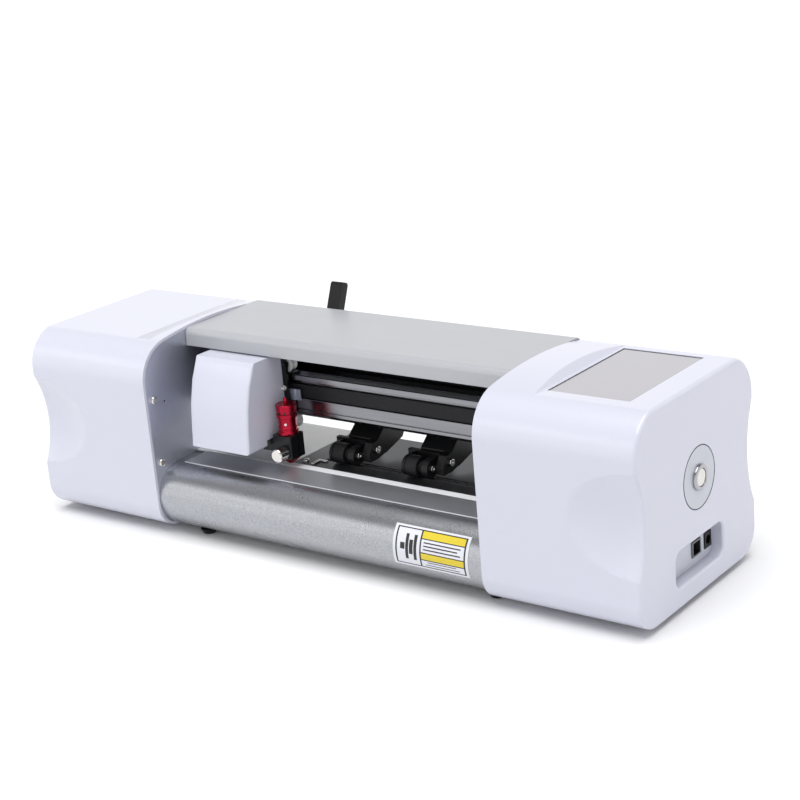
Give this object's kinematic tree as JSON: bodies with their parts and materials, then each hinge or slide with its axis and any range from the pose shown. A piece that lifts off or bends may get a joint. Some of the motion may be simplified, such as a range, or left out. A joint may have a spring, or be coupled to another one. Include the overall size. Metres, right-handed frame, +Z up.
{
  "type": "vinyl cutter",
  "caption": "Desktop vinyl and film cutter with moulded end caps, touchscreen, belt-driven knife carriage, grit feed shaft and lever-lifted pinch rollers.",
  "frame": {"origin": "on the table under the middle of the machine", "axes": "+X along the machine towards the cap with the screen, +Y from the operator to the rear, +Z up"},
  "size_m": [0.536, 0.16, 0.166],
  "materials": {
    "cap_white": "smooth moulded ABS, soft gloss",
    "frame_silver": "fine-grain silver metallic paint",
    "cover_paint": "satin light grey paint",
    "deck_metal": "satin grey",
    "rail_aluminium": "extruded, satin",
    "strip_white": "matt",
    "label_print": "printed film",
    "black_rubber": "matt",
    "belt_rubber": "matt",
    "nickel": "bright plated",
    "dark_steel": "blackened",
    "bronze": "sintered",
    "motor_black": "matt",
    "black_plastic": "satin",
    "black_metal": "black satin",
    "wheel_grey": "satin",
    "tab_grey": "satin",
    "red_anodised": "red anodised",
    "screen_glass": "coated glass",
    "disc_silver": "satin silver",
    "chrome": "polished",
    "board_green": "solder mask"
  },
  "bodies": {
    "frame": {"apron_label": "label_print", "arm_pivot_shaft": "dark_steel", "bed_sheet": "frame_silver", "button_bezel": "chrome", "button_disc": "disc_silver", "carriage_belt": "belt_rubber", "carriage_motor": "motor_black", "carriage_motor_bracket": "dark_steel", "connector_plate": "disc_silver", "control_board": "board_green", "cutting_strip": "strip_white", "feed_belt": "belt_rubber", "feed_motor": "motor_black", "feed_motor_bracket": "dark_steel", "front_platen": "deck_metal", "grit_shaft_bushes": "bronze", "idler_bracket": "dark_steel", "left_end_cap": "cap_white", "left_side_frame": "frame_silver", "pan_head_screws": "nickel", "power_socket": "black_plastic", "rail": "rail_aluminium", "rear_deck_plates": "deck_metal", "right_end_cap": "cap_white", "right_side_frame": "frame_silver", "rubber_feet": "black_rubber", "screen_module": "motor_black", "strip_support_bar": "dark_steel", "top_cover": "cover_paint", "touch_glass": "screen_glass", "usb_socket": "nickel"},
    "carriage": {"carriage_plate": "black_metal", "carriage_cover": "cap_white", "belt_clamp_tab": "tab_grey", "guide_rods": "nickel", "lift_solenoid": "motor_black"},
    "tool": {"tool_slide": "black_metal", "holder_clamp": "black_metal", "blade_holder": "red_anodised", "blade": "nickel"},
    "holder_cap": {"holder_cap": "red_anodised"},
    "eject_pin": {"eject_pin": "red_anodised"},
    "thumbscrew": {"thumbscrew": "nickel"},
    "wheel_low_left": {"v_wheel_low_left": "wheel_grey"},
    "wheel_low_right": {"v_wheel_low_right": "wheel_grey"},
    "wheel_high_left": {"v_wheel_high_left": "wheel_grey"},
    "wheel_high_right": {"v_wheel_high_right": "wheel_grey"},
    "carriage_pulley": {"carriage_motor_pulley": "rail_aluminium"},
    "idler": {"idler_pulley": "rail_aluminium"},
    "grit": {"grit_shaft": "dark_steel", "feed_driven_pulley": "rail_aluminium"},
    "feed_pinion": {"feed_motor_pulley": "rail_aluminium"},
    "pinch_arms": {"pinch_arms": "black_plastic", "roller_forks": "black_plastic", "roller_axles_and_bolts": "nickel"},
    "roller_left": {"pinch_roller_left": "black_rubber"},
    "roller_right": {"pinch_roller_right": "black_rubber"},
    "lift_shaft": {"lift_cam_shaft": "dark_steel", "lift_lever": "black_plastic"},
    "button": {"button_cap": "nickel"}
  },
  "joints": [
    {"name": "carriage_travel", "type": "slide", "parent": "frame", "child": "carriage", "axis": [1, 0, 0], "range_m": [-0.018, 0.18]},
    {"name": "tool_lift", "type": "slide", "parent": "carriage", "child": "tool", "axis": [0, 0, -1], "range_m": [0, 0.0025], "stiffness_N_per_m": 500, "springref_m": -0.003},
    {"name": "holder_cap_turn", "type": "hinge", "parent": "tool", "child": "holder_cap", "pos_m": [-0.0535, -0.03, 0.098], "axis": [0, 0, 1], "range_deg": [0, 360]},
    {"name": "eject_pin_press", "type": "slide", "parent": "tool", "child": "eject_pin", "axis": [0, 0, -1], "range_m": [0, 0.003], "stiffness_N_per_m": 150, "springref_m": -0.001},
    {"name": "thumbscrew_turn", "type": "hinge", "parent": "tool", "child": "thumbscrew", "pos_m": [-0.051, -0.045, 0.068], "axis": [0, -1, 0], "range_deg": [0, 540]},
    {"name": "wheel_low_left_roll", "type": "hinge", "parent": "carriage", "child": "wheel_low_left", "pos_m": [-0.108, -0.0069, 0.08145], "axis": [0, 1, 0], "range_deg": [-2269, 229]},
    {"name": "wheel_low_right_roll", "type": "hinge", "parent": "carriage", "child": "wheel_low_right", "pos_m": [-0.067, -0.0069, 0.08145], "axis": [0, 1, 0], "range_deg": [-2269, 229]},
    {"name": "wheel_high_left_roll", "type": "hinge", "parent": "carriage", "child": "wheel_high_left", "pos_m": [-0.108, -0.0069, 0.12555], "axis": [0, 1, 0], "range_deg": [-229, 2269]},
    {"name": "wheel_high_right_roll", "type": "hinge", "parent": "carriage", "child": "wheel_high_right", "pos_m": [-0.067, -0.0069, 0.12555], "axis": [0, 1, 0], "range_deg": [-229, 2269]},
    {"name": "carriage_pulley_spin", "type": "hinge", "parent": "frame", "child": "carriage_pulley", "pos_m": [-0.172, 0.001, 0.106], "axis": [0, 0, 1], "range_deg": [-107, 1044]},
    {"name": "idler_spin", "type": "hinge", "parent": "frame", "child": "idler", "pos_m": [0.172, 0.001, 0.106], "axis": [0, 0, 1], "range_deg": [-107, 1044]},
    {"name": "grit_spin", "type": "hinge", "parent": "frame", "child": "grit", "pos_m": [0, -0.0073, 0.05075], "axis": [1, 0, 0], "continuous": true},
    {"name": "feed_pinion_spin", "type": "hinge", "parent": "frame", "child": "feed_pinion", "pos_m": [0.16, 0.03, 0.036], "axis": [1, 0, 0], "continuous": true},
    {"name": "lever_swing", "type": "hinge", "parent": "frame", "child": "lift_shaft", "pos_m": [0, 0.046, 0.1], "axis": [-1, 0, 0], "range_deg": [0, 50]},
    {"name": "pinch_lift", "type": "hinge", "parent": "frame", "child": "pinch_arms", "pos_m": [0, 0.03, 0.09], "axis": [-1, 0, 0], "range_deg": [0, 5.2]},
    {"name": "roller_left_spin", "type": "hinge", "parent": "pinch_arms", "child": "roller_left", "pos_m": [-0.02, -0.01, 0.0623], "axis": [1, 0, 0], "continuous": true},
    {"name": "roller_right_spin", "type": "hinge", "parent": "pinch_arms", "child": "roller_right", "pos_m": [0.046, -0.01, 0.0623], "axis": [1, 0, 0], "continuous": true},
    {"name": "power_button_press", "type": "slide", "parent": "frame", "child": "button", "axis": [-1, 0, 0], "range_m": [0, 0.0015], "stiffness_N_per_m": 700, "springref_m": -0.0005}
  ],
  "couplings": [
    {"joint": "wheel_low_left_roll", "follows": "carriage_travel", "rad_per_m": -219.78},
    {"joint": "wheel_low_right_roll", "follows": "carriage_travel", "rad_per_m": -219.78},
    {"joint": "wheel_high_left_roll", "follows": "carriage_travel", "rad_per_m": 219.78},
    {"joint": "wheel_high_right_roll", "follows": "carriage_travel", "rad_per_m": 219.78},
    {"joint": "carriage_pulley_spin", "follows": "carriage_travel", "rad_per_m": 101.01},
    {"joint": "idler_spin", "follows": "carriage_travel", "rad_per_m": 101.01},
    {"joint": "feed_pinion_spin", "follows": "grit_spin", "ratio": 2},
    {"joint": "roller_left_spin", "follows": "grit_spin", "ratio": -0.4808},
    {"joint": "roller_right_spin", "follows": "grit_spin", "ratio": -0.4808},
    {"joint": "pinch_lift", "follows": "lever_swing", "ratio": 0.1}
  ]
}
